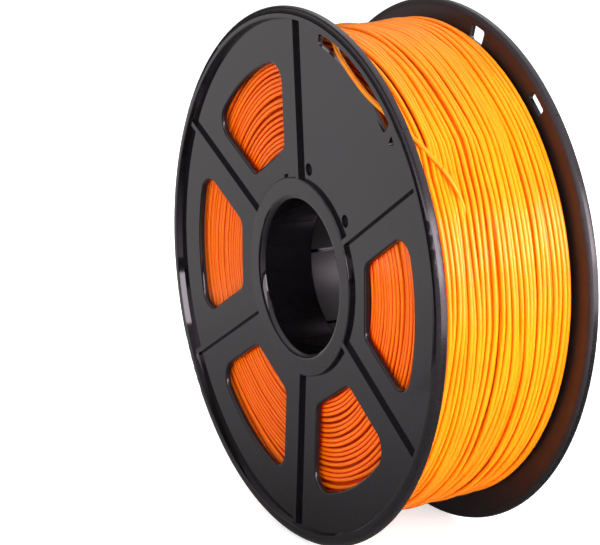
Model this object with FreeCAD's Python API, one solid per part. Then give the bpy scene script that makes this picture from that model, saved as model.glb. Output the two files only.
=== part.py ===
"""Filament spool for a desktop 3D printer, wound with orange filament.

Two black mouldings snap together at the middle of the hub. Each has a dished
flange with a raised rim, six ribs and five windows. A slot in the front one
holds the filament's end. The filament is wound on the drum between them.

Millimetres. +Y runs along the spool's axis from the front flange to the rear
one, +Z is up, and the origin is on the axis, midway between the two rims.
Depth is counted from the front rim's outer face, so y = depth - width / 2.
"""
import math
import os

import FreeCAD
import Part
from FreeCAD import Vector

# Driving dimensions
SPOOL_RADIUS = 100.0
SPOOL_WIDTH = 66.5
BORE_RADIUS = 28.5
FILAMENT = 1.75
WINDING_RADIUS = 91.0

# Rim of a flange: a flat ring face, a soft shoulder that turns through the
# first degrees, a tighter tip, and a plain round behind it
RIM_THICK = 4.3
RIM_ROUND = RIM_THICK / 2
SHOULDER_ROUND = 3.17
SHOULDER_TURN = math.radians(50)
TIP_ROUND = (RIM_ROUND - SHOULDER_ROUND * (1 - math.cos(SHOULDER_TURN))) / math.cos(SHOULDER_TURN)
RIM_INNER_RADIUS = 95.6
RIM_FOOT_RADIUS = 95.1
EDGE_ROUND = 0.4

# Panel of a flange, which is a shallow cone between the rim and the boss
PANEL_THICK = 1.9
PANEL_DEPTH_RIM = 2.42
PANEL_DEPTH_BOSS = 4.68
BOSS_RADIUS = 37.1
BOSS_RISE = 1.41
BOSS_THICK = 2.4
BORE_LEAD_IN = 2.5

# Ribs and windows, all spaced by a sixth of a turn
RIB_COUNT = 6
RIB_WIDTH = 2.0
RIB_RISE = 1.41
WINDOW_ANGLES = (0, 120, 180, 240, 300)
WINDOW_CHORD = 46.3
WINDOW_OUTER_RADIUS = 80.0
WINDOW_TO_RIB = 11.8
WINDOW_OUTER_CORNER = 7.0
WINDOW_INNER_CORNER = 4.5
WINDOW_EDGE_ROUND = 0.8

# Slot and small hole near the front rim and two small holes near the rear
# one, as (radius, angle) about the axis, and the two blind round recesses and
# the gate's recess beside the boss
SLOT_INNER = ((86.5, 45.0), (87.75, 62.0), (89.3, 79.0))
SLOT_OUTER = ((91.7, 45.2), (93.0, 62.0), (93.3, 79.2))
SLOT_CORNER = 1.1
REAR_HOLES = (
    (((90.3, 69.4), (90.3, 71.9), (90.3, 74.4)), ((96.3, 69.4), (96.3, 71.9), (96.3, 74.4))),
    (((92.6, 43.2), (92.6, 45.9), (92.6, 48.6)), ((96.3, 43.2), (96.3, 45.9), (96.3, 48.6))),
)
CLIP_HOLE = ((90.3, 43.0), (85.7, 42.4), (89.6, 40.7))
ROUND_RECESS_RADIUS = 2.35
ROUND_RECESS_DEEP = 1.35
ROUND_RECESS_PITCH_RADIUS = 41.7
ROUND_RECESS_ANGLES = (39.2, 80.8)
GATE_RECESS_ANGLE = 105.0
GATE_RECESS = (5.0, 1.2, 0.8)
RIM_NOTCH_ANGLE = 40.5
RIM_NOTCH_WIDTH = 0.8
RIM_NOTCH_DEEP = 0.5

# Drum that the filament is wound on, with its lap joint at the middle
DRUM_RADIUS = 46.0
DRUM_WALL = 1.9
LAP_LENGTH = 3.0
LAP_WALL = 0.9
JOINT_GAP = 0.15

# Bore sleeve: six snap fingers of the rear half sit in a collar of the front
SLEEVE_WALL = 2.1
SEAM_DEPTH = 25.0
COLLAR_WALL = 2.0
COLLAR_GAP = 0.2
COLLAR_END = 46.0
COLLAR_FLARE = (17.0, 19.0)
FINGER_COUNT = 6
FINGER_SLIT = 1.4
FINGER_SLIT_ANGLE = 175.7
HOOK_DEPTHS = (27.0, 29.0)
HOOK_RISE = 0.9
WEB_THICK = 1.5
WEB_DEPTH = 15.0

# Winding: a plain core and the outer layer of turns round it. Its rear side
# bulges towards the rear flange in the outer layers, as (radius, depth).
WINDING_SIDE_DEPTH = 6.8
REAR_BULGE_START = (80.2, 59.7)
REAR_BULGE_END = (86.0, 61.1)
CORE_GAP = 0.05
TURNS = 16
ARC_PAIRS_PER_TURN = 2
TURN_CLEAR = 0.05
LAST_TURN_ANGLE = 27.0

# Filament's tail, which leaves the last turn, comes out through the front
# slot, lies along it and goes back in: (angle, depth, radius) of its corners
TAIL_FIRST_RUN = 8.2
TAIL_ROUTE = (
    (39.5, 7.25, 90.5),
    (45.0, 6.6, 90.50),
    (50.0, 4.6, 90.00),
    (54.5, 2.2, 89.80),
    (60.5, 1.35, 90.10),
    (66.5, 1.9, 90.80),
    (71.5, 3.4, 91.20),
    (76.5, 5.4, 91.50),
    (83.0, 6.6, 91.20),
    (89.0, 6.8, 90.50),
)
ARC_SHARE = 0.45

AXIS = Vector(0, 1, 0)
CENTRE = Vector(0, 0, 0)
HALF_WIDTH = SPOOL_WIDTH / 2
FILAMENT_RADIUS = FILAMENT / 2
TURN_RADIUS = WINDING_RADIUS - FILAMENT_RADIUS
CORE_RADIUS = TURN_RADIUS - FILAMENT_RADIUS - TURN_CLEAR


def at(radius, angle, depth=0.0):
    """Point at a radius and an angle in degrees from +X, seen from the front."""
    turn = math.radians(angle)
    return Vector(radius * math.cos(turn), depth - HALF_WIDTH, radius * math.sin(turn))


def revolved(path):
    """Solid of revolution about the axis from (radius, depth) corners.

    A corner of four numbers is an arc: its middle point, then its end.
    """
    edges = []
    here = Vector(path[0][0], path[0][1] - HALF_WIDTH, 0)
    for step in path[1:] + path[:1]:
        end = Vector(step[-2], step[-1] - HALF_WIDTH, 0)
        if len(step) == 4:
            middle = Vector(step[0], step[1] - HALF_WIDTH, 0)
            edges.append(Part.Arc(here, middle, end).toShape())
        elif end.distanceToPoint(here) > 1e-6:
            edges.append(Part.makeLine(here, end))
        here = end
    face = Part.Face(Part.Wire(edges))
    return face.revolve(CENTRE, AXIS, 360)


def round_corner(start, end, bulge):
    """Quarter-round step for revolved(): its middle point, then its end."""
    centre = (end[0], start[1]) if bulge == "start_radial" else (start[0], end[1])
    radius = abs(end[0] - start[0])
    to_middle = (start[0] + end[0] - 2 * centre[0], start[1] + end[1] - 2 * centre[1])
    length = math.hypot(*to_middle)
    middle = (centre[0] + to_middle[0] / length * radius, centre[1] + to_middle[1] / length * radius)
    return middle + tuple(end)


def arc_step(centre, radius, start, end):
    """Arc step for revolved(), by its tilt from the face towards the outside."""
    points = [(centre[0] + radius * math.sin(t), centre[1] - radius * math.cos(t)) for t in ((start + end) / 2, end)]
    return points[0] + points[1]


def panel_depth(radius):
    """Depth of a flange panel's outer face at a radius."""
    share = (RIM_FOOT_RADIUS - radius) / (RIM_FOOT_RADIUS - BOSS_RADIUS)
    return PANEL_DEPTH_RIM + share * (PANEL_DEPTH_BOSS - PANEL_DEPTH_RIM)


BOSS_TOP = PANEL_DEPTH_BOSS - BOSS_RISE
BORE_WALL_START = BOSS_TOP + BORE_LEAD_IN
SLEEVE_RADIUS = BORE_RADIUS + SLEEVE_WALL
DRUM_INNER = DRUM_RADIUS - DRUM_WALL


def prism(points, near, far):
    """Solid between two depths under a closed outline of points."""
    shift = Vector(0, near - HALF_WIDTH - points[0].y, 0)
    wire = Part.makePolygon([p + shift for p in points + points[:1]])
    return Part.Face(wire).extrude(AXIS * (far - near))


def turned(shape, angle):
    """Copy of a shape turned about the axis, counted from +X towards +Z."""
    copy = shape.copy()
    copy.rotate(CENTRE, AXIS, -angle)
    return copy


def upright_edges(solid):
    """Edges of a prism that run along the axis."""
    return [e for e in solid.Edges if abs(abs(e.tangentAt(e.FirstParameter).y) - 1) < 1e-6]


def window_cutter():
    """Window at angle 0: a chord, two sides along the ribs and an outer arc."""
    lean = math.tan(math.radians(30))
    offset = WINDOW_TO_RIB / math.cos(math.radians(30))
    inner_half = WINDOW_CHORD * lean - offset
    a = 1 + lean ** 2
    b = -2 * lean * offset
    c = offset ** 2 - WINDOW_OUTER_RADIUS ** 2
    outer_x = (-b + math.sqrt(b * b - 4 * a * c)) / (2 * a)
    outer_half = outer_x * lean - offset
    y = -HALF_WIDTH - 1
    low_in = Vector(WINDOW_CHORD, y, -inner_half)
    high_in = Vector(WINDOW_CHORD, y, inner_half)
    high_out = Vector(outer_x, y, outer_half)
    low_out = Vector(outer_x, y, -outer_half)
    arc = Part.Arc(high_out, Vector(WINDOW_OUTER_RADIUS, y, 0), low_out).toShape()
    sides = [Part.makeLine(low_out, low_in), Part.makeLine(low_in, high_in), Part.makeLine(high_in, high_out)]
    solid = Part.Face(Part.Wire([arc] + sides)).extrude(AXIS * 9)
    outer = [e for e in upright_edges(solid) if e.CenterOfMass.x > 60]
    solid = solid.makeFillet(WINDOW_OUTER_CORNER, outer)
    inner = [e for e in upright_edges(solid) if e.CenterOfMass.x < WINDOW_CHORD + 0.1]
    return solid.makeFillet(WINDOW_INNER_CORNER, inner)


def window_edges(disc):
    """Edges where the windows meet a flange panel's outer face."""
    found = []
    for edge in disc.Edges:
        middle = edge.valueAt((edge.FirstParameter + edge.LastParameter) / 2)
        radius = math.hypot(middle.x, middle.z)
        on_face = abs(middle.y + HALF_WIDTH - panel_depth(radius)) < 0.01
        if on_face and DRUM_RADIUS < radius < WINDOW_OUTER_RADIUS + 1:
            found.append(edge)
    return found


def slot_cutter(inner_arc, outer_arc):
    """Slot near the rim, between two arcs of three points each."""
    inner = [at(r, a, -1) for r, a in inner_arc]
    outer = [at(r, a, -1) for r, a in outer_arc]
    edges = [
        Part.Arc(*inner).toShape(),
        Part.makeLine(inner[2], outer[2]),
        Part.Arc(outer[2], outer[1], outer[0]).toShape(),
        Part.makeLine(outer[0], inner[0]),
    ]
    solid = Part.Face(Part.Wire(edges)).extrude(AXIS * 9)
    return solid.makeFillet(SLOT_CORNER, upright_edges(solid))


def front_hole_cutters():
    """Long slot that holds the filament's end, and the clip hole beside it."""
    clip = prism([at(r, a) for r, a in CLIP_HOLE], 0, 9)
    return [slot_cutter(SLOT_INNER, SLOT_OUTER), clip.makeFillet(0.5, upright_edges(clip))]


def rear_hole_cutters():
    """Two small holes at the foot of the rear rim."""
    return [slot_cutter(inner, outer) for inner, outer in REAR_HOLES]


def recess_cutters():
    """Round recesses, the gate's recess and the rim's notch."""
    cutters = []
    for angle in ROUND_RECESS_ANGLES:
        foot = at(ROUND_RECESS_PITCH_RADIUS, angle, 0)
        floor = panel_depth(ROUND_RECESS_PITCH_RADIUS) + ROUND_RECESS_DEEP
        cutters.append(Part.makeCylinder(ROUND_RECESS_RADIUS, floor, foot, AXIS))
    long, wide, deep = GATE_RECESS
    floor = panel_depth(BOSS_RADIUS) + deep
    recess = Part.makeBox(wide, floor, long, Vector(BOSS_RADIUS + 0.15, -HALF_WIDTH, -long / 2))
    recess = recess.makeFillet(0.45 * wide, upright_edges(recess))
    cutters.append(turned(recess, GATE_RECESS_ANGLE))
    corner = Vector(SPOOL_RADIUS - RIM_NOTCH_DEEP, -HALF_WIDTH - 1, -RIM_NOTCH_WIDTH / 2)
    notch = Part.makeBox(RIM_NOTCH_DEEP + 1, RIM_THICK + 2, RIM_NOTCH_WIDTH, corner)
    cutters.append(turned(notch, RIM_NOTCH_ANGLE))
    return cutters


def ribs():
    """Six radial ribs that run from the boss to the rim, level with the boss."""
    inner = BOSS_RADIUS - 0.6
    outer = RIM_FOOT_RADIUS + 0.3
    y_front = -HALF_WIDTH
    outline = [
        Vector(inner, y_front + panel_depth(inner) - RIB_RISE, -RIB_WIDTH / 2),
        Vector(outer, y_front + panel_depth(outer) - RIB_RISE, -RIB_WIDTH / 2),
        Vector(outer, y_front + panel_depth(outer) + 1, -RIB_WIDTH / 2),
        Vector(inner, y_front + panel_depth(inner) + 0.5, -RIB_WIDTH / 2),
    ]
    rib = Part.Face(Part.makePolygon(outline + outline[:1])).extrude(Vector(0, 0, RIB_WIDTH))
    return [turned(rib, 90 + k * 360 / RIB_COUNT) for k in range(RIB_COUNT)]


def flange(hole_cutters):
    """Front flange with its rim, panel and boss, up to the drum and sleeve."""
    bore_start = (BORE_RADIUS, BORE_WALL_START)
    boss_inner = (BORE_RADIUS + BORE_LEAD_IN, BOSS_TOP)
    boss_edge = (BOSS_RADIUS - EDGE_ROUND, BOSS_TOP)
    boss_side = (BOSS_RADIUS, BOSS_TOP + EDGE_ROUND)
    rim_wall_top = (RIM_INNER_RADIUS, EDGE_ROUND)
    ring_inner = (RIM_INNER_RADIUS + EDGE_ROUND, 0.0)
    tip_centre = SPOOL_RADIUS - TIP_ROUND
    shoulder_centre = tip_centre - (SHOULDER_ROUND - TIP_ROUND) * math.sin(SHOULDER_TURN)
    ring_outer = (shoulder_centre, 0.0)
    shoulder = arc_step((shoulder_centre, SHOULDER_ROUND), SHOULDER_ROUND, 0.0, SHOULDER_TURN)
    tip = arc_step((tip_centre, RIM_ROUND), TIP_ROUND, SHOULDER_TURN, math.pi / 2)
    rim_back = arc_step((SPOOL_RADIUS - RIM_ROUND, RIM_ROUND), RIM_ROUND, math.pi / 2, math.pi)
    back_rim = (RIM_FOOT_RADIUS - 0.1, panel_depth(RIM_FOOT_RADIUS) + PANEL_THICK)
    back_drum = (DRUM_RADIUS, panel_depth(DRUM_RADIUS) + PANEL_THICK)
    under_boss = BOSS_TOP + BOSS_THICK
    disc = revolved([
        bore_start,
        round_corner(bore_start, boss_inner, "start_radial"),
        boss_edge,
        round_corner(boss_edge, boss_side, "start_axial"),
        (BOSS_RADIUS, panel_depth(BOSS_RADIUS)),
        (RIM_FOOT_RADIUS, panel_depth(RIM_FOOT_RADIUS)),
        rim_wall_top,
        round_corner(rim_wall_top, ring_inner, "start_radial"),
        ring_outer,
        shoulder,
        tip,
        rim_back,
        back_rim,
        back_drum,
        (BOSS_RADIUS + 1.0, panel_depth(BOSS_RADIUS + 1.0) + PANEL_THICK),
        (BOSS_RADIUS - 0.5, under_boss),
        (SLEEVE_RADIUS, under_boss),
        (BORE_RADIUS, under_boss + 1.0),
    ])
    disc = disc.cut([turned(window_cutter(), angle) for angle in WINDOW_ANGLES])
    disc = disc.makeFillet(WINDOW_EDGE_ROUND, window_edges(disc))
    disc = disc.fuse(ribs())
    return disc.cut(hole_cutters + recess_cutters())


def webs(outer_sleeve):
    """Six webs that tie the bore sleeve to the drum, behind the boss."""
    start = BOSS_TOP + BOSS_THICK - 0.5
    length = DRUM_INNER - outer_sleeve + 0.6
    corner = Vector(outer_sleeve - 0.3, start - HALF_WIDTH, -WEB_THICK / 2)
    web = Part.makeBox(length, WEB_DEPTH - start, WEB_THICK, corner)
    return [turned(web, 90 + k * 360 / RIB_COUNT) for k in range(RIB_COUNT)]


def front_half():
    """Front flange, its half of the drum, and the sleeve with its collar."""
    under_boss = BOSS_TOP + BOSS_THICK - 0.5
    middle = HALF_WIDTH - JOINT_GAP / 2
    collar_inner = SLEEVE_RADIUS + COLLAR_GAP
    collar_outer = collar_inner + COLLAR_WALL
    groove = SLEEVE_RADIUS + HOOK_RISE + COLLAR_GAP
    drum_start = panel_depth(DRUM_RADIUS) + 0.5
    drum = revolved([
        (DRUM_INNER, drum_start),
        (DRUM_RADIUS, drum_start),
        (DRUM_RADIUS, middle),
        (DRUM_INNER + LAP_WALL, middle),
        (DRUM_INNER + LAP_WALL, middle + LAP_LENGTH),
        (DRUM_INNER, middle + LAP_LENGTH),
    ])
    sleeve = revolved([
        (BORE_RADIUS, BORE_WALL_START),
        (SLEEVE_RADIUS, under_boss),
        (SLEEVE_RADIUS, COLLAR_FLARE[0]),
        (collar_outer, COLLAR_FLARE[1]),
        (collar_outer, COLLAR_END),
        (collar_inner, COLLAR_END),
        (collar_inner, HOOK_DEPTHS[1] + 2 * COLLAR_GAP),
        (groove, HOOK_DEPTHS[1] + 2 * COLLAR_GAP),
        (groove, HOOK_DEPTHS[0] - 2 * COLLAR_GAP),
        (collar_inner, HOOK_DEPTHS[0] - 2 * COLLAR_GAP),
        (collar_inner, SEAM_DEPTH),
        (BORE_RADIUS, SEAM_DEPTH),
    ])
    return flange(front_hole_cutters()).fuse([drum, sleeve] + webs(SLEEVE_RADIUS))


def rear_half():
    """Rear flange, its half of the drum, and the sleeve with snap fingers."""
    flange_side = flange(rear_hole_cutters()).fuse(webs(SLEEVE_RADIUS)).mirror(CENTRE, AXIS)
    middle = HALF_WIDTH + JOINT_GAP / 2
    rear_sleeve_end = SPOOL_WIDTH - BORE_WALL_START
    rear_boss = SPOOL_WIDTH - (BOSS_TOP + BOSS_THICK - 0.5)
    rear_panel = SPOOL_WIDTH - panel_depth(DRUM_RADIUS) - 0.5
    tip = SEAM_DEPTH + 2 * JOINT_GAP
    hook = SLEEVE_RADIUS + HOOK_RISE
    lap_radius = DRUM_INNER + LAP_WALL + JOINT_GAP
    lap_end = middle + LAP_LENGTH + JOINT_GAP
    drum = revolved([
        (DRUM_RADIUS, middle),
        (DRUM_RADIUS, rear_panel),
        (DRUM_INNER, rear_panel),
        (DRUM_INNER, lap_end),
        (lap_radius, lap_end),
        (lap_radius, middle),
    ])
    sleeve = revolved([
        (BORE_RADIUS, tip),
        (SLEEVE_RADIUS, tip),
        (SLEEVE_RADIUS, HOOK_DEPTHS[0]),
        (hook, HOOK_DEPTHS[0] + HOOK_RISE),
        (hook, HOOK_DEPTHS[1]),
        (SLEEVE_RADIUS, HOOK_DEPTHS[1]),
        (SLEEVE_RADIUS, rear_boss),
        (BORE_RADIUS, rear_sleeve_end),
    ])
    corner = Vector(BORE_RADIUS - 2, tip - 1 - HALF_WIDTH, -FINGER_SLIT / 2)
    slit = Part.makeBox(SLEEVE_WALL + 5, COLLAR_END - tip + 1, FINGER_SLIT, corner)
    pitch = 360 / FINGER_COUNT
    slits = [turned(slit, FINGER_SLIT_ANGLE + k * pitch) for k in range(FINGER_COUNT)]
    return flange_side.fuse([drum, sleeve.cut(slits)])


def winding_core():
    """Plain body of the winding, under its outer layer of turns."""
    near = WINDING_SIDE_DEPTH
    inner = DRUM_RADIUS + CORE_GAP
    return revolved([
        (inner, near),
        (CORE_RADIUS, near),
        (CORE_RADIUS, REAR_BULGE_END[1]),
        REAR_BULGE_END,
        REAR_BULGE_START,
        (inner, REAR_BULGE_START[1]),
    ])


def helix_point(turn):
    """Place and direction on the outer layer's centre line, turn by turn."""
    first = REAR_BULGE_END[1] - FILAMENT_RADIUS
    last = WINDING_SIDE_DEPTH + FILAMENT_RADIUS
    rise = (last - first) / TURNS
    angle = LAST_TURN_ANGLE + 360 * (turn - TURNS)
    place = at(TURN_RADIUS, angle, first + rise * turn)
    around = at(1, angle + 90, HALF_WIDTH) * (2 * math.pi * TURN_RADIUS)
    direction = around + Vector(0, rise, 0)
    return place, direction.normalize()


def arc_between(start, apex, end):
    """Arc from start to end whose tangents there meet at apex."""
    chord_middle = (start + end) * 0.5
    to_apex = apex - chord_middle
    half_turn = math.atan2(to_apex.Length, start.distanceToPoint(end) / 2)
    middle = chord_middle + to_apex * (math.tan(half_turn / 2) / math.tan(half_turn))
    return Part.Arc(start, middle, end).toShape()


def biarc(start, start_way, end, end_way):
    """Two arcs that leave start and reach end along the given directions."""
    across = end - start
    both = start_way + end_way
    a = 2 * (1 - start_way.dot(end_way))
    b = across.dot(both)
    reach = (-b + math.sqrt(b * b + a * across.dot(across))) / a
    first_apex = start + start_way * reach
    last_apex = end - end_way * reach
    joint = (first_apex + last_apex) * 0.5
    return [arc_between(start, first_apex, joint), arc_between(joint, last_apex, end)]


def tube(edges, start, way, diameter):
    """Round tube along a chain of edges that starts at a point."""
    section = Part.Wire(Part.makeCircle(diameter / 2, start, way))
    shell = Part.BRepOffsetAPI.MakePipeShell(Part.Wire(edges))
    shell.add(section)
    shell.build()
    shell.makeSolid()
    return shell.shape()


def least_turn_gap():
    """Least clear gap of the outer layer to itself, measured on points."""
    steps = 24
    line = [helix_point(k / steps)[0] for k in range(TURNS * steps + 1)]
    least = SPOOL_WIDTH
    for k in range(0, len(line) - steps // 2):
        for other in range(k + steps // 2, min(k + 3 * steps // 2, len(line))):
            least = min(least, line[k].distanceToPoint(line[other]))
    return least - FILAMENT


def winding_outer_turns():
    """Outer layer of the winding as one unbroken tube."""
    first, first_way = helix_point(0)
    last, last_way = helix_point(TURNS)
    start = first - first_way * FILAMENT
    edges = [Part.makeLine(start, first)]
    for k in range(ARC_PAIRS_PER_TURN * TURNS):
        here, way = helix_point(k / ARC_PAIRS_PER_TURN)
        there, there_way = helix_point((k + 1) / ARC_PAIRS_PER_TURN)
        edges += biarc(here, way, there, there_way)
    end = last + last_way * FILAMENT
    edges.append(Part.makeLine(last, end))
    print("outer layer: least gap between turns %.2f mm" % least_turn_gap())
    return tube(edges, start, first_way, FILAMENT)


def tail_corners():
    """Corners of the tail's route, from the last turn's end."""
    last, last_way = helix_point(TURNS)
    start = last + last_way * FILAMENT
    return [start, start + last_way * TAIL_FIRST_RUN] + [at(r, a, depth) for a, depth, r in TAIL_ROUTE]


def filament_tail():
    """Free end of the filament: straight runs joined by tangent arcs."""
    points = tail_corners()
    edges = []
    here = points[0]
    radii = []
    for before, corner, after in zip(points, points[1:], points[2:]):
        way_in = (corner - before).normalize()
        way_out = (after - corner).normalize()
        half_turn = way_in.getAngle(way_out) / 2
        reach = ARC_SHARE * min(corner.distanceToPoint(before), after.distanceToPoint(corner))
        radii.append(reach / math.tan(half_turn))
        arc_start = corner - way_in * reach
        arc_end = corner + way_out * reach
        edges.append(Part.makeLine(here, arc_start))
        edges.append(arc_between(arc_start, corner, arc_end))
        here = arc_end
    edges.append(Part.makeLine(here, points[-1]))
    length = sum(e.Length for e in edges)
    solid = tube(edges, points[0], (points[1] - points[0]).normalize(), FILAMENT)
    expected = math.pi * FILAMENT_RADIUS ** 2 * length
    print("tail: length %.1f mm, volume %.4f of its section times length"
          % (length, solid.Volume / expected))
    print("tail: radii in mm " + " ".join("%.0f" % r for r in radii))
    return solid


def main():
    os.makedirs("parts", exist_ok=True)
    pieces = {
        "front_spool_half": front_half(),
        "rear_spool_half": rear_half(),
        "winding_core": winding_core(),
        "winding_outer_turns": winding_outer_turns(),
        "filament_tail": filament_tail(),
    }
    for name, shape in pieces.items():
        box = shape.BoundBox
        print("%-20s solids %d valid %s volume %.0f mm3, box %.1f %.1f %.1f"
              % (name, len(shape.Solids), shape.isValid(), shape.Volume, box.XLength, box.YLength, box.ZLength))
        shape.exportStep("parts/%s.step" % name)


main()
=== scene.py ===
import math

import bpy
from mathutils import Matrix, Vector, noise


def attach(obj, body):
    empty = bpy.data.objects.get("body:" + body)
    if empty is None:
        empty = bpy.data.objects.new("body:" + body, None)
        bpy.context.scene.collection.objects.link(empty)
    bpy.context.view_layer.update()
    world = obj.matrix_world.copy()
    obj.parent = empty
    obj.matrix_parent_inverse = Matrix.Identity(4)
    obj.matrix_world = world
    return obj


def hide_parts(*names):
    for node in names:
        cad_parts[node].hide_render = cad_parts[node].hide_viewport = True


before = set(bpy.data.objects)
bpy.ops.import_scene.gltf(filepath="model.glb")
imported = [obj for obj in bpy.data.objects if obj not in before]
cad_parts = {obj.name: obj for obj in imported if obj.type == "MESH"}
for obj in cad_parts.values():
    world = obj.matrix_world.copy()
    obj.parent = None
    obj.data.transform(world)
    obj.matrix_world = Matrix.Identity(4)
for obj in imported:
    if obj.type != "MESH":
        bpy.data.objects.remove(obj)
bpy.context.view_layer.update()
bpy.context.scene.view_settings.view_transform = "Standard"


# Camera: the photograph was taken from the spool's right front, a little
# above it, and this camera was fitted to its rims, ribs, windows and bore.
def show(name, data):
    """Put new data into the scene as an object."""
    item = bpy.data.objects.new(name, data)
    bpy.context.scene.collection.objects.link(item)
    return item


eye = Vector((0.62850, -0.38176, 0.16358))
ahead = Vector((-0.85400, 0.47895, -0.20322))
upward = Vector((-0.17385, 0.10544, 0.97911))
camera_data = bpy.data.cameras.new("camera")
camera_data.sensor_fit = "HORIZONTAL"
camera_data.sensor_width = 36.0
camera_data.lens = 119.8
camera_data.shift_x = 0.0014
camera_data.shift_y = -0.0546
camera_data.clip_start = 0.01
camera = show("camera", camera_data)
turn = Matrix((ahead.cross(upward), upward, -ahead)).transposed()
camera.matrix_world = Matrix.Translation(eye) @ turn.to_4x4()
bpy.context.scene.camera = camera


# Spool halves: two black polystyrene mouldings, snapped together at the hub.
# The mould was polished, so the skin is glossy like lacquer, with a faint
# waviness where the plastic shrank as it cooled.
def linear(code):
    """Linear colour of an sRGB hex value."""
    parts = [int(code[k:k + 2], 16) / 255 for k in (1, 3, 5)]
    return [p / 12.92 if p <= 0.04045 else ((p + 0.055) / 1.055) ** 2.4 for p in parts] + [1.0]


def add(tree, kind, inputs=None, **settings):
    """Add a node with its settings; an input is a value or an output to link."""
    node = tree.nodes.new(kind)
    for name, value in settings.items():
        setattr(node, name, value)
    for name, value in (inputs or {}).items():
        if isinstance(value, bpy.types.NodeSocket):
            tree.links.new(value, node.inputs[name])
        else:
            node.inputs[name].default_value = value
    return node


def ramp(tree, factor, stops):
    """Ramp with (position, colour) stops: an sRGB hex value or a linear grey."""
    node = add(tree, "ShaderNodeValToRGB", {"Fac": factor})
    elements = node.color_ramp.elements
    for k, (position, colour) in enumerate(stops):
        stop = elements[k] if k < 2 else elements.new(position)
        stop.position = position
        stop.color = linear(colour) if isinstance(colour, str) else (colour, colour, colour, 1)
    return node.outputs["Color"]


def new_material(name):
    """Material without nodes, and its tree."""
    material = bpy.data.materials.new(name)
    material.use_nodes = True
    material.node_tree.nodes.clear()
    return material, material.node_tree


# Roughness of the polished skin, and what three duller skins add to it: the
# rims' round edge, rubbed by handling, the inner faces of the flanges, where
# the mould was left matt, and the bore wall behind its seam.
POLISH = 0.07
RIM_WEAR = 0.34
MATT_MOULD = 0.42
BORE_RUB = 0.33
# The flanges are shallow cones, which lean by this much per metre of radius.
FLANGE_LEAN = 0.039

polystyrene, tree = new_material("black_polystyrene_moulded")
place = add(tree, "ShaderNodeTexCoord").outputs["Object"]
# Sink waves about 40 mm long, and a hardly visible cloudiness, 2.5 mm coarse.
sink = add(tree, "ShaderNodeTexNoise", {"Vector": place, "Scale": 25.0, "Detail": 1.0})
cloud = add(tree, "ShaderNodeTexNoise", {"Vector": place, "Scale": 400.0, "Detail": 3.0})
tone = ramp(tree, cloud.outputs["Fac"], [(0.35, "#0b0a0b"), (0.65, "#100e10")])
parts = add(tree, "ShaderNodeSeparateXYZ", {"Vector": place})
across = add(tree, "ShaderNodeCombineXYZ", {"X": parts.outputs["X"], "Z": parts.outputs["Z"]})
from_axis = add(tree, "ShaderNodeVectorMath", {0: across.outputs["Vector"]}, operation="LENGTH").outputs["Value"]
# Scuffs are about 0.7 mm apart, drawn coarser than real so that they show.
scuffs = add(tree, "ShaderNodeTexNoise", {"Vector": place, "Scale": 1400.0, "Detail": 4.0, "Roughness": 0.7})
on_rim = add(tree, "ShaderNodeMapRange", {"Value": from_axis, "From Min": 0.0970, "From Max": 0.0982,
                                          "To Max": RIM_WEAR})
worn = add(tree, "ShaderNodeMath", {0: on_rim.outputs["Result"], 1: scuffs.outputs["Fac"]}, operation="MULTIPLY")
from_middle = add(tree, "ShaderNodeMath", {0: parts.outputs["Y"]}, operation="ABSOLUTE")
lean = add(tree, "ShaderNodeMath", {0: from_axis, 1: -FLANGE_LEAN, 2: from_middle.outputs["Value"]},
           operation="MULTIPLY_ADD")
inside = add(tree, "ShaderNodeMapRange", {"Value": lean.outputs["Value"], "From Min": 0.0263, "From Max": 0.0260})
off_hub = add(tree, "ShaderNodeMapRange", {"Value": from_axis, "From Min": 0.0375, "From Max": 0.0380,
                                           "To Max": MATT_MOULD})
matt = add(tree, "ShaderNodeMath", {0: inside.outputs["Result"], 1: off_hub.outputs["Result"]}, operation="MULTIPLY")
in_bore = add(tree, "ShaderNodeMapRange", {"Value": from_axis, "From Min": 0.0288, "From Max": 0.0286,
                                           "To Max": BORE_RUB})
past_seam = add(tree, "ShaderNodeMapRange", {"Value": parts.outputs["Y"], "From Min": -0.0083, "From Max": -0.0080})
rubbed = add(tree, "ShaderNodeMath", {0: in_bore.outputs["Result"], 1: past_seam.outputs["Result"]},
             operation="MULTIPLY")
gloss = add(tree, "ShaderNodeMath", {0: worn.outputs["Value"], 1: matt.outputs["Value"]}, operation="ADD")
gloss = add(tree, "ShaderNodeMath", {0: gloss.outputs["Value"], 1: rubbed.outputs["Value"]}, operation="ADD")
gloss = add(tree, "ShaderNodeMath", {0: gloss.outputs["Value"], 1: POLISH}, operation="ADD")
# The rims' outer face is nearly flat across, so it mirrors as one band.
plain = add(tree, "ShaderNodeNewGeometry").outputs["Normal"]
radial = add(tree, "ShaderNodeVectorMath", {0: across.outputs["Vector"]}, operation="NORMALIZE").outputs["Vector"]
turned = add(tree, "ShaderNodeVectorMath", {0: plain, 1: radial}, operation="DOT_PRODUCT")
outer_face = add(tree, "ShaderNodeMapRange", {"Value": turned.outputs["Value"], "From Min": 0.45, "From Max": 0.80,
                                              "To Max": 0.85})
at_edge = add(tree, "ShaderNodeMapRange", {"Value": from_axis, "From Min": 0.0975, "From Max": 0.0985})
flat_part = add(tree, "ShaderNodeMath", {0: outer_face.outputs["Result"], 1: at_edge.outputs["Result"]},
                operation="MULTIPLY")
level = add(tree, "ShaderNodeMix", {0: flat_part.outputs["Value"], 4: plain, 5: radial}, data_type="VECTOR")
level = add(tree, "ShaderNodeVectorMath", {0: level.outputs[1]}, operation="NORMALIZE")
wave = add(tree, "ShaderNodeBump", {"Height": sink.outputs["Fac"], "Strength": 0.02, "Distance": 0.0006,
                                    "Normal": level.outputs["Vector"]})
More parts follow.
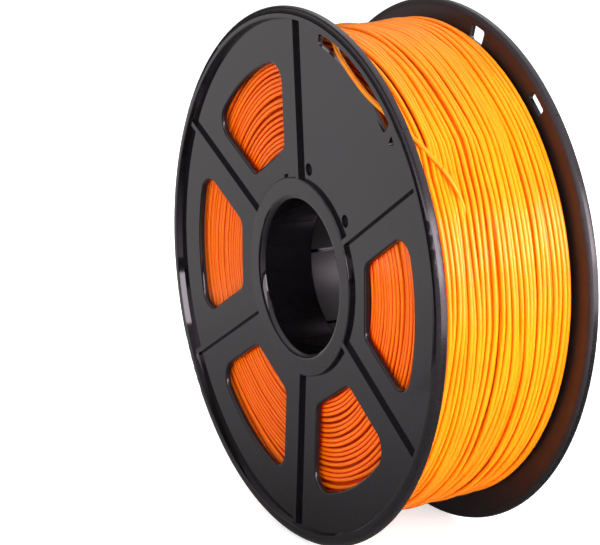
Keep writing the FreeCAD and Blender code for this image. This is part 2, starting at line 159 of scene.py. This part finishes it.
skin = add(tree, "ShaderNodeBsdfPrincipled", {
    "Base Color": tone,
    "Roughness": gloss.outputs["Value"],
    "IOR": 1.56,
    "Specular Tint": (1.0, 0.86, 0.96, 1.0),
    "Normal": wave.outputs["Normal"],
})
add(tree, "ShaderNodeOutputMaterial", {"Surface": skin.outputs["BSDF"]})

for node in ("front_spool_half", "rear_spool_half"):
    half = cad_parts[node]
    half.data.materials.clear()
    half.data.materials.append(polystyrene)


# Filament: 1.75 mm PLA, drawn smooth and round. Its dye lets light in a little way, so it glows yellow where it is
# lit. In the grooves a deep red shade is painted into its colour.
FILAMENT = 0.00175


def filament(name, darker, lighter, groove_shade, open_above, shine):
    """PLA in two tones, and a painted shade colour, groove_shade, where the open room round it is less than
    open_above.
    """
    material, tree = new_material(name)
    place = add(tree, "ShaderNodeTexCoord").outputs["Object"]
    # The dye varies a little over about 17 mm.
    batch = add(tree, "ShaderNodeTexNoise", {"Vector": place, "Scale": 60.0, "Detail": 2.0})
    tone = ramp(tree, batch.outputs["Fac"], [(0.3, darker), (0.7, lighter)])
    # Painted shade: between touching strands, where ambient occlusion finds little open room, the colour is mixed to
    # a deep red.
    room = add(tree, "ShaderNodeAmbientOcclusion", {"Distance": 0.0015}, samples=6)
    shown = add(tree, "ShaderNodeMapRange", {"Value": room.outputs["AO"], "From Min": open_above - 0.45,
                                             "From Max": open_above})
    tone = add(tree, "ShaderNodeMix", {0: shown.outputs["Result"], 6: linear(groove_shade), 7: tone},
               data_type="RGBA").outputs[2]
    # Marks of the die, about 1 mm apart, drawn coarser than real so that they show.
    draw = add(tree, "ShaderNodeTexNoise", {"Vector": place, "Scale": 900.0, "Detail": 2.0})
    gloss = add(tree, "ShaderNodeMapRange", {"Value": draw.outputs["Fac"], "To Min": 0.16, "To Max": 0.22})
    fine = add(tree, "ShaderNodeBump", {"Height": draw.outputs["Fac"], "Strength": 0.08, "Distance": 0.0001})
    skin = add(tree, "ShaderNodeBsdfPrincipled", {
        "Base Color": tone,
        "Roughness": gloss.outputs["Result"],
        "IOR": 1.43,
        "Specular IOR Level": shine,
        "Subsurface Weight": 0.30,
        "Subsurface Radius": (1.0, 0.25, 0.05),
        "Subsurface Scale": 0.0008,
        "Normal": fine.outputs["Normal"],
    })
    add(tree, "ShaderNodeOutputMaterial", {"Surface": skin.outputs["BSDF"]})
    return material


pla = filament("orange_pla_filament", "#ff8803", "#ff9105", "#ff5e00", 0.55, 0.5)
# Shaded copies of the same filament: the turns seen in the windows get a redder orange as painted shade, and the
# layers below get a nearly red painted shade.
pla_painted_shade_inner = filament("orange_pla_filament_inner_turns_painted_shade", "#ff7206", "#ff7a09", "#dc2800", 0.98, 0.3)
pla_painted_shade_deep = filament("orange_pla_filament_deep_turns_painted_shade", "#ff4600", "#ff5200", "#d82400", 0.85, 0.2)


# Winding: the filament lies in layers on the drum, each laid back across the
# one below. The top layer is whole and a little uneven: some turns ride up on
# their neighbours, and gaps between them show the strands below.
RIM_FACE = 0.03325
TOP_RADIUS = 0.0901
TOP_TURNS = 28
STEPS = 144
# Depths of the winding's two sides from the front rim's face.
FRONT_SIDE = 0.0069
REAR_SIDE = 0.0611
# Angle of the slot in degrees, behind which the winding's front side stands
# back, and by how much the front turns of a layer do.
SLOT_ANGLE = 62
SET_BACK = 0.0022


def strand(name, points, sides=10, material=pla):
    """Round strand through points, as a tube with closed ends."""
    vertices = []
    faces = []
    for k, here in enumerate(points):
        along = (points[min(k + 1, len(points) - 1)] - points[max(k - 1, 0)]).normalized()
        outward = Vector((here.x, 0, here.z)).normalized()
        across = along.cross(outward).normalized()
        outward = across.cross(along)
        for j in range(sides):
            a = 2 * math.pi * j / sides
            vertices.append(here + (outward * math.cos(a) + across * math.sin(a)) * FILAMENT / 2)
        if k:
            low, high = (k - 1) * sides, k * sides
            for j in range(sides):
                after = (j + 1) % sides
                faces.append((low + j, low + after, high + after, high + j))
    faces.append(tuple(range(sides))[::-1])
    faces.append(tuple(range((len(points) - 1) * sides, len(points) * sides)))
    mesh = bpy.data.meshes.new(name)
    mesh.from_pydata(vertices, [], faces)
    mesh.shade_smooth()
    return wind_on(name, mesh, material)


def wind_on(name, data, material):
    """Show a piece of filament, which moves with the spool."""
    data.materials.append(material)
    piece = show(name, data)
    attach(piece, "root")
    return piece


def at(radius, angle, depth):
    """Point at a radius in metres and an angle in degrees, at a depth from the front rim."""
    a = math.radians(angle)
    return Vector((radius * math.cos(a), depth - RIM_FACE, radius * math.sin(a)))


def beside_slot(a):
    """1 in the slot's sector, where the front of the winding stands back, else 0."""
    off = abs(math.remainder(a - math.radians(SLOT_ANGLE), 2 * math.pi))
    return min(1.0, max(0.0, (math.radians(30) - off) / math.radians(8)))


def layer(radius, first_angle, sense, seed, rise, slack, split=99):
    """Strand laid turn beside turn over the full width, uneven by rise and slack."""
    width = REAR_SIDE - FRONT_SIDE
    places = []
    lifts = []
    for k in range(TOP_TURNS * STEPS + 1):
        t = k / STEPS
        a = math.radians(first_angle - sense * 360 * t)
        lift = rise * noise.noise(Vector((1.3 * math.cos(a) + seed, 1.3 * math.sin(a), 1.37 * t)))
        lift += 0.6 * rise * noise.noise(Vector((0.6 * math.cos(a), 0.6 * math.sin(a) + seed, 2.9 * t)))
        # The first and the last turns lie nearly flat.
        lift *= min(1.0, 0.2 + t / 3, 0.2 + (TOP_TURNS - t) / 3)
        gap = max(0.0, noise.noise(Vector((0.7 * math.cos(a), seed, 1.9 * t + 0.7 * math.sin(a)))) - 0.08) * slack
        # Where the layer is split, after so many turns, it opens by 1.3 mm.
        gap += 0.0013 * max(0.0, 1 - ((t - split) / 0.22) ** 2)
        if k < STEPS:
            place = FILAMENT * (0.5 + t)
        else:
            # A turn that lies higher than the one before it lies closer to it.
            step = min(abs(lift - lifts[k - STEPS]), 0.8 * FILAMENT)
            place = places[k - STEPS] + math.sqrt(FILAMENT ** 2 - step ** 2) + gap
        places.append(place)
        lifts.append(lift)
    points = []
    for k, place in enumerate(places):
        t = k / STEPS
        a = math.radians(first_angle - sense * 360 * t)
        # The turns are spread so that the last one ends at the rear side.
        last = places[(TOP_TURNS - 1) * STEPS + k % STEPS]
        end = width - FILAMENT * (1.5 - (k % STEPS) / STEPS)
        place += (end - last) * min(1.0, t / (TOP_TURNS - 1))
        place += SET_BACK * beside_slot(a) * (1 - place / width)
        # Towards the rear the winding stands higher, most of all at the top.
        toward_rear = min(1.0, max(0.0, (place / width - 0.3) / 0.6))
        bulge = (0.0003 + 0.0017 * math.cos(a - math.radians(85))) * toward_rear
        points.append(at(radius + min(lifts[k], 0.0010) + bulge, math.degrees(a), FRONT_SIDE + place))
    return points


top = strand("top_layer_strands", layer(TOP_RADIUS, 190.0, 1, 3.7, 0.0017, 0.0024, 12.6), sides=12)
strand("under_layer_strands", layer(TOP_RADIUS - 0.0014, 200.0, -1, 9.1, 0.0006, 0.002), sides=8)
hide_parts("winding_outer_turns")


# Winding's two sides, seen through the windows: the last turn of each layer
# ends there, so the side is a spiral of strands, about 22 layers deep. Turns
# that were not pressed home lie deeper, and between them it is open.
LAYERS = 22
FIRST_RADIUS = 0.0469
LAST_RADIUS = 0.0875
# Distance of a side's face from the middle of the spool.
SIDE_FACE = 0.0267
# Angle in degrees at which each turn has stepped out over the one before.
STEPPED_OUT = 85
# Hollow behind the slot: its depth, the radius where it begins and the length
# of its slope.
HOLLOW = 0.009
HOLLOW_FROM = 0.070
HOLLOW_SLOPE = 0.006


def side_spiral(name, facing, seed):
    """Circles of strand that step outwards one by one behind the slot's sector."""
    radii = []
    depths = []
    for k in range(LAYERS * STEPS + 1):
        t = k / STEPS
        a = math.radians(STEPPED_OUT + 360 * t)
        wander = noise.noise(Vector((0.8 * math.cos(a) + seed, 0.8 * math.sin(a), t * 1.3)))
        gap = max(0.0, noise.noise(Vector((0.7 * math.cos(a), 0.7 * math.sin(a) + seed, t * 2.3))) - 0.02) * 0.0022
        gap *= min(1.0, max(0.0, t - 2.0))
        if k <= STEPS:
            radii.append(FIRST_RADIUS + 0.97 * FILAMENT * max(0.0, (t - 0.87) / 0.13))
        else:
            radii.append(radii[k - STEPS] + 0.94 * FILAMENT + gap)
        depths.append(SIDE_FACE - FILAMENT / 2 - 0.0010 * max(0.0, wander + 0.08))
    reach = (LAST_RADIUS - FIRST_RADIUS) / (radii[-1] - FIRST_RADIUS)
    points = []
    for k, (radius, depth) in enumerate(zip(radii, depths)):
        a = math.radians(STEPPED_OUT + 360 * k / STEPS)
        radius = FIRST_RADIUS + (radius - FIRST_RADIUS) * reach
        if facing < 0:
            depth -= HOLLOW * beside_slot(a) * min(1.0, max(0.0, (radius - HOLLOW_FROM) / HOLLOW_SLOPE))
        points.append(Vector((radius * math.cos(a), facing * depth, radius * math.sin(a))))
    # The sides are drawn in the redder painted-shade copy of the filament.
    strand(name, points, material=pla_painted_shade_inner)


side_spiral("front_side_strands", -1, 1.3)
side_spiral("rear_side_strands", 1, 5.9)


# Body of the winding: all the layers between, which nothing shows, made as
# one ring so that no light passes between the strands.
CORNERS = 160
vertices = []
faces = []
for k in range(CORNERS):
    a = 2 * math.pi * k / CORNERS
    front = 0.0230 - HOLLOW * beside_slot(a)
    profile = ((0.0461, -0.023), (0.069, -0.023), (0.076, -front), (0.0874, -front), (0.0874, 0.0245),
               (0.0461, 0.023))
    for radius, y in profile:
        vertices.append((radius * math.cos(a), y, radius * math.sin(a)))
    here, there = len(profile) * k, len(profile) * ((k + 1) % CORNERS)
    for j in range(len(profile)):
        after = (j + 1) % len(profile)
        faces.append((here + j, there + j, there + after, here + after))
mesh = bpy.data.meshes.new("winding_body")
mesh.from_pydata(vertices, [], faces)
# The body gets the nearly red painted-shade copy of the filament, which shows in the gaps as shade.
body = wind_on("winding_body", mesh, pla_painted_shade_deep)
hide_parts("winding_core")


# Last turn: it lies in a groove of the top layer and comes up out of it,
# towards the place where the free end leaves. Each row gives an angle in
# degrees, a depth and a radius in mm.
LAST_TURN = ((22, 22.3, 88.7), (25, 21.4, 90.0), (28, 19.8, 91.4), (31, 17.9, 91.9), (34, 15.9, 91.8))
points = []
for (a0, d0, r0), (a1, d1, r1) in zip(LAST_TURN, LAST_TURN[1:]):
    for k in range(8):
        points.append(at((r0 + (r1 - r0) * k / 8) / 1000, a0 + (a1 - a0) * k / 8, (d0 + (d1 - d0) * k / 8) / 1000))
strand("last_turn_strand", points)


# Free end: it leaves the top layer, crosses it on the slant, comes out
# through the slot in the front flange, lies along it and goes back in. Its
# rows read like those of the last turn.
TAIL = (
    (32.7, 17.0, 91.8),
    (36.9, 13.3, 91.8),
    (41.0, 10.0, 91.5),
    (46.0, 6.2, 90.8),
    (50.5, 4.0, 90.0),
    (55.0, 1.9, 89.75),
    (60.5, 1.25, 90.05),
    (66.5, 1.7, 90.7),
    (71.0, 2.9, 91.3),
    (75.0, 5.4, 91.7),
    (79.0, 8.3, 91.0),
    (84.0, 9.6, 90.2),
    (89.0, 9.9, 90.0),
)
line = bpy.data.curves.new("free_end", "CURVE")
line.dimensions = "3D"
line.bevel_depth = FILAMENT / 2
line.bevel_resolution = 4
line.resolution_u = 16
line.use_fill_caps = True
spline = line.splines.new("NURBS")
spline.points.add(len(TAIL) - 1)
for point, (angle, depth, radius) in zip(spline.points, TAIL):
    point.co = (*at(radius / 1000, angle, depth / 1000), 1)
spline.order_u = 3
spline.use_endpoint_u = True
free_end = wind_on("free_end", line, pla)
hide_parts("filament_tail")


# Floor: plain and pale, white to the eye away from the spool. What the glossy plastic mirrors of it is painted: a
# painted shadow, grey near the spool and bright further off, with one painted dark wedge at the left front.
floor_mesh = bpy.data.meshes.new("floor")
floor_mesh.from_pydata([(-6, -6, -0.1), (6, -6, -0.1), (6, 6, -0.1), (-6, 6, -0.1)], [], [(0, 1, 2, 3)])
floor = show("floor", floor_mesh)
paint, tree = new_material("pale_floor")
place = add(tree, "ShaderNodeTexCoord").outputs["Object"]
parts = add(tree, "ShaderNodeSeparateXYZ", {"Vector": place})
flat = add(tree, "ShaderNodeCombineXYZ", {"X": parts.outputs["X"], "Y": parts.outputs["Y"]})
away = add(tree, "ShaderNodeVectorMath", {0: flat.outputs["Vector"]}, operation="LENGTH")
half_away = add(tree, "ShaderNodeMath", {0: away.outputs["Value"], 1: 0.5}, operation="MULTIPLY")
seen = ramp(tree, half_away.outputs["Value"], [(0.03, 0.6), (0.12, 1.0), (0.07, 0.85)])
mirrored_painted_shade = ramp(tree, half_away.outputs["Value"],
                [(0.015, 0.15), (1.0, 0.9), (0.085, 0.4), (0.22, 0.7), (0.475, 0.8)])
# The dark wedge at the left front and the dimmer part behind the spool are painted shade in what the glossy plastic
# mirrors.
bearing = add(tree, "ShaderNodeMath", {0: parts.outputs["Y"], 1: parts.outputs["X"]}, operation="ARCTAN2")
wedge_start = add(tree, "ShaderNodeMapRange", {"Value": bearing.outputs["Value"], "From Min": math.radians(-136),
                                               "From Max": math.radians(-130), "To Min": 1.0, "To Max": 0.0})
wedge_end = add(tree, "ShaderNodeMapRange", {"Value": bearing.outputs["Value"], "From Min": math.radians(-101),
                                             "From Max": math.radians(-95)})
beside = add(tree, "ShaderNodeMath", {0: wedge_start.outputs["Result"], 1: wedge_end.outputs["Result"]},
             operation="MAXIMUM")
behind = add(tree, "ShaderNodeMapRange", {"Value": bearing.outputs["Value"], "From Min": math.radians(10),
                                          "From Max": math.radians(18), "To Min": 1.0, "To Max": 0.6})
near = add(tree, "ShaderNodeMapRange", {"Value": away.outputs["Value"], "From Min": 0.22, "From Max": 0.32,
                                        "To Min": 1.0, "To Max": 0.0})
open_part = add(tree, "ShaderNodeMath", {0: beside.outputs["Value"], 1: near.outputs["Result"]}, operation="MAXIMUM")
open_part = add(tree, "ShaderNodeMath", {0: open_part.outputs["Value"], 1: behind.outputs["Result"]},
                operation="MULTIPLY")
mirrored_painted_shade = add(tree, "ShaderNodeMath", {0: mirrored_painted_shade, 1: open_part.outputs["Value"]}, operation="MULTIPLY")
path = add(tree, "ShaderNodeLightPath")
eye_part = add(tree, "ShaderNodeMath", {0: seen, 1: path.outputs["Is Camera Ray"]}, operation="MULTIPLY")
gloss_part = add(tree, "ShaderNodeMath", {0: mirrored_painted_shade.outputs["Value"], 1: path.outputs["Is Glossy Ray"]},
                 operation="MULTIPLY")
strength = add(tree, "ShaderNodeMath", {0: eye_part.outputs["Value"], 1: gloss_part.outputs["Value"]},
               operation="ADD")
glow = add(tree, "ShaderNodeEmission", {"Color": (1, 1, 1, 1), "Strength": strength.outputs["Value"]})
pale = add(tree, "ShaderNodeBsdfDiffuse", {"Color": linear("#e8e8e8")})
shadowed = add(tree, "ShaderNodeAddShader", {0: pale.outputs["BSDF"], 1: glow.outputs["Emission"]})
only_glow = add(tree, "ShaderNodeMixShader", {0: path.outputs["Is Glossy Ray"], 1: shadowed.outputs["Shader"],
                                              2: glow.outputs["Emission"]})
add(tree, "ShaderNodeOutputMaterial", {"Surface": only_glow.outputs["Shader"]})
floor_mesh.materials.append(paint)


# World: white behind the spool and an even weak light on it. For the glossy
# plastic it is a dark horizon that grows brighter overhead, most of all in
# front of the spool and behind it.
world = bpy.data.worlds.new("studio")
bpy.context.scene.world = world
world.use_nodes = True
world.node_tree.nodes.clear()
tree = world.node_tree
path = add(tree, "ShaderNodeLightPath")
way = add(tree, "ShaderNodeSeparateXYZ", {"Vector": add(tree, "ShaderNodeTexCoord").outputs["Generated"]})
height = ramp(tree, way.outputs["Z"], [(0.0, 0.05), (0.6, 1.0), (0.3, 0.3)])
in_front = add(tree, "ShaderNodeMapRange", {"Value": way.outputs["Y"], "From Min": 0.15, "From Max": -0.35,
                                            "To Min": 0.08, "To Max": 1.0})
at_back = add(tree, "ShaderNodeMapRange", {"Value": way.outputs["Y"], "From Min": 0.25, "From Max": 0.42,
                                           "To Min": 0.08, "To Max": 1.3})
walls = add(tree, "ShaderNodeMath", {0: in_front.outputs["Result"], 1: at_back.outputs["Result"]},
            operation="MAXIMUM")
shine = add(tree, "ShaderNodeMath", {0: height, 1: walls.outputs["Value"]}, operation="MULTIPLY")
lit = add(tree, "ShaderNodeMix", {"Factor": path.outputs["Is Glossy Ray"], "A": 0.17, "B": shine.outputs["Value"]})
whole = add(tree, "ShaderNodeMix", {"Factor": path.outputs["Is Camera Ray"], "A": lit.outputs["Result"], "B": 1.0})
sky = add(tree, "ShaderNodeBackground", {"Color": (1, 1, 1, 1), "Strength": whole.outputs["Result"]})
add(tree, "ShaderNodeOutputWorld", {"Surface": sky.outputs["Background"]})


# Lamps: one at the right rear and one on the camera's side, which the strands
# shine in, a small one by each that lies lower, a wide one overhead and one
# that fills the far side.
def soft_lamp(name, place, aim, width, height, power, mirrors=True):
    """Rectangular lamp in metres and watts; mirrors says if glossy skins show it."""
    data = bpy.data.lights.new(name, "AREA")
    data.shape = "RECTANGLE"
    data.size = width
    data.size_y = height
    data.energy = power
    lamp = show(name, data)
    lamp.location = place
    lamp.rotation_euler = (Vector(aim) - Vector(place)).to_track_quat("-Z", "Y").to_euler()
    lamp.visible_glossy = mirrors


soft_lamp("key_rear", (1.0, 0.14, 0.32), (0, 0, 0), 1.2, 0.45, 13.5)
soft_lamp("key_front", (0.56, -0.90, 0.31), (0, 0, 0), 1.3, 0.42, 6.5)
soft_lamp("overhead", (0.3, 0.2, 1.2), (0, 0, 0), 0.8, 0.8, 10, mirrors=False)
soft_lamp("low_front", (0.9, -0.35, -0.03), (0, 0, -0.04), 0.5, 0.1, 1.8, mirrors=False)
soft_lamp("fill_left", (-1.0, 0.55, 0.45), (0, 0, 0), 1.0, 0.6, 9, mirrors=False)
soft_lamp("low_rear", (0.42, 0.20, 0.0), (0, 0, 0), 0.45, 0.19, 0.9)
